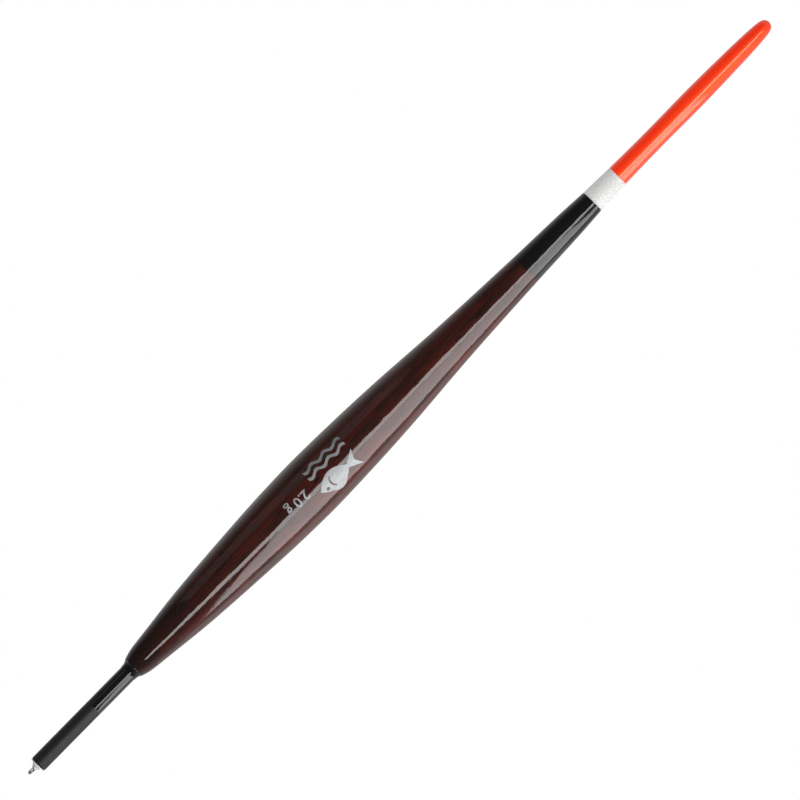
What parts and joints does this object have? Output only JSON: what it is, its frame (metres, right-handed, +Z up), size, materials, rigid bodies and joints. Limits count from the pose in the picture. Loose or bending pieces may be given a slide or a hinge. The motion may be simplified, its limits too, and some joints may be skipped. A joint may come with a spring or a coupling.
{
  "type": "fishing float",
  "caption": "Slim wooden fishing float: spindle body on a thin black stem with a wire line eye, and a hollow orange tip that pulls off its peg.",
  "frame": {"origin": "middle of the wire loop of the line eye", "axes": "+Z up the float's axis, from the line eye to the nose of the antenna, as the float stands in the water; -Y towards the side that carries the foil print"},
  "size_m": [0.0086, 0.0086, 0.14],
  "materials": {
    "lacquered_balsa": "dark brown stain under clear gloss lacquer, neck painted gloss black",
    "black_composite": "matt black, with clear gloss lacquer on its upper part",
    "black_epoxy": "gloss",
    "clear_epoxy": "clear gloss",
    "stainless_wire": "bright drawn wire",
    "glass_fibre": "satin, translucent cream",
    "white_plastic": "matt",
    "orange_plastic": "gloss fluorescent orange"
  },
  "bodies": {
    "float": {"body": "lacquered_balsa", "stem_tube": "black_composite", "base_collar": "black_epoxy", "eye_glue": "clear_epoxy", "wire_eye": "stainless_wire", "antenna_peg": "glass_fibre", "ferrule": "white_plastic"},
    "antenna": {"antenna": "orange_plastic"}
  },
  "joints": [
    {"name": "antenna_pull", "type": "slide", "parent": "float", "child": "antenna", "axis": [0, 0, 1], "range_m": [0, 0.009]}
  ]
}
